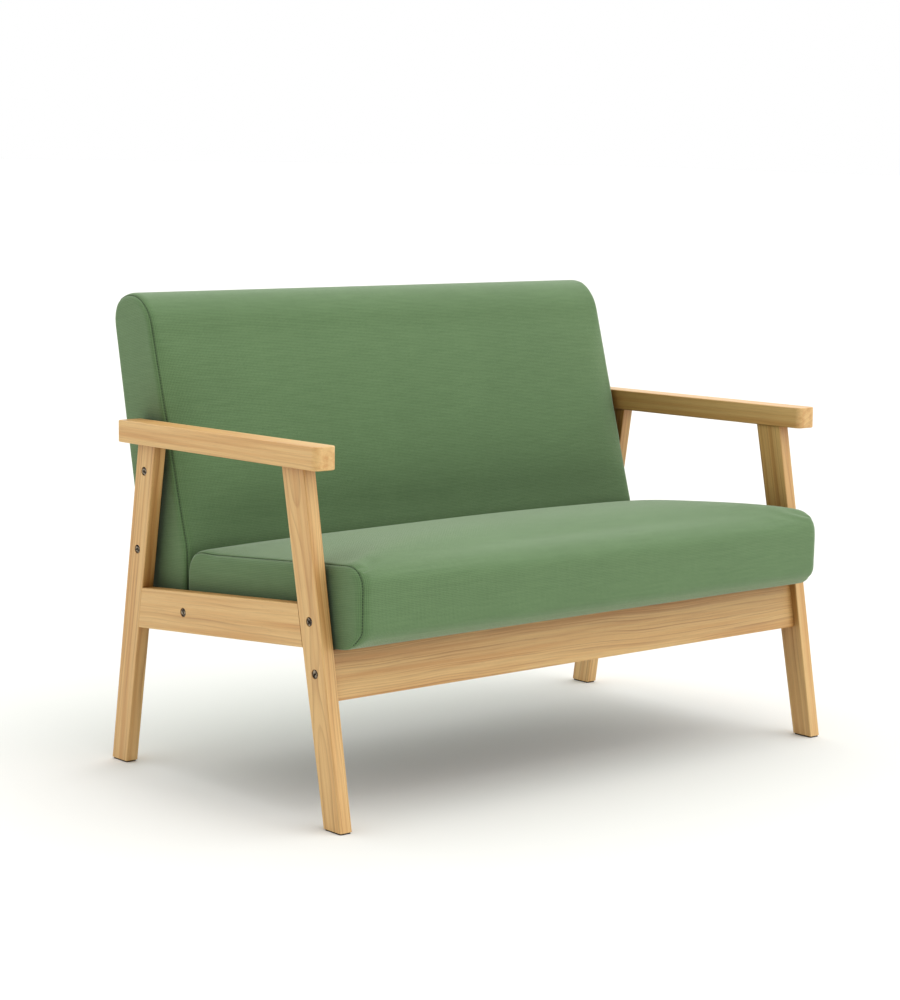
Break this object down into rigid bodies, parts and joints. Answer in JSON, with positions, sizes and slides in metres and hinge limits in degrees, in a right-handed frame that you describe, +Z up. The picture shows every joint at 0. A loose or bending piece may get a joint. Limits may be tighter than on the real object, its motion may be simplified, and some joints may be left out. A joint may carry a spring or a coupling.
{
  "type": "two-seat sofa",
  "caption": "Small sofa with an upholstered seat and leaning back bolted between splayed wooden side frames with flat armrests.",
  "frame": {"origin": "on the floor, under the middle of the whole object's bounding box", "axes": "+Z up; the sitter faces -Y; +X is the right-hand end seen from the front, along the length of the seat"},
  "size_m": [1.132, 0.6604, 0.778],
  "materials": {
    "wood": "clear satin lacquer on pale straight-grained pine",
    "frame_wood": "raw sawn board",
    "upholstery": "sage green plain weave",
    "foam": "cut polyurethane foam",
    "webbing": "woven elastic webbing",
    "dust_cloth": "non-woven felt",
    "bolt_metal": "dark bronze coating",
    "hardware": "zinc plated",
    "spacer": "matte black",
    "foot_pad": "matte dark brown"
  },
  "bodies": {
    "root": {"left_front_leg": "wood", "right_front_leg": "wood", "left_back_leg": "wood", "right_back_leg": "wood", "left_side_rail": "wood", "right_side_rail": "wood", "left_armrest": "wood", "right_armrest": "wood", "front_rail": "wood", "left_seat_side_board": "frame_wood", "right_seat_side_board": "frame_wood", "left_back_side_board": "frame_wood", "right_back_side_board": "frame_wood", "left_rail_dowels": "frame_wood", "right_rail_dowels": "frame_wood", "left_arm_dowels": "frame_wood", "right_arm_dowels": "frame_wood", "left_front_rail_dowel": "frame_wood", "right_front_rail_dowel": "frame_wood", "seat_front_board": "frame_wood", "seat_middle_board": "frame_wood", "seat_rear_board": "frame_wood", "back_top_board": "frame_wood", "back_middle_board": "frame_wood", "back_bottom_board": "frame_wood", "seat_cover": "upholstery", "back_cover": "upholstery", "seat_foam": "foam", "back_foam": "foam", "seat_long_webbing": "webbing", "seat_cross_webbing": "webbing", "back_webbing": "webbing", "seat_dust_cloth": "dust_cloth", "left_seat_bolts": "bolt_metal", "right_seat_bolts": "bolt_metal", "left_back_bolts": "bolt_metal", "right_back_bolts": "bolt_metal", "left_rail_bolt": "bolt_metal", "right_rail_bolt": "bolt_metal", "left_seat_inserts": "hardware", "right_seat_inserts": "hardware", "left_back_inserts": "hardware", "right_back_inserts": "hardware", "left_barrel_nut": "hardware", "right_barrel_nut": "hardware", "left_spacers": "spacer", "right_spacers": "spacer", "left_front_foot_pad": "foot_pad", "right_front_foot_pad": "foot_pad", "left_back_foot_pad": "foot_pad", "right_back_foot_pad": "foot_pad"}
  },
  "joints": []
}
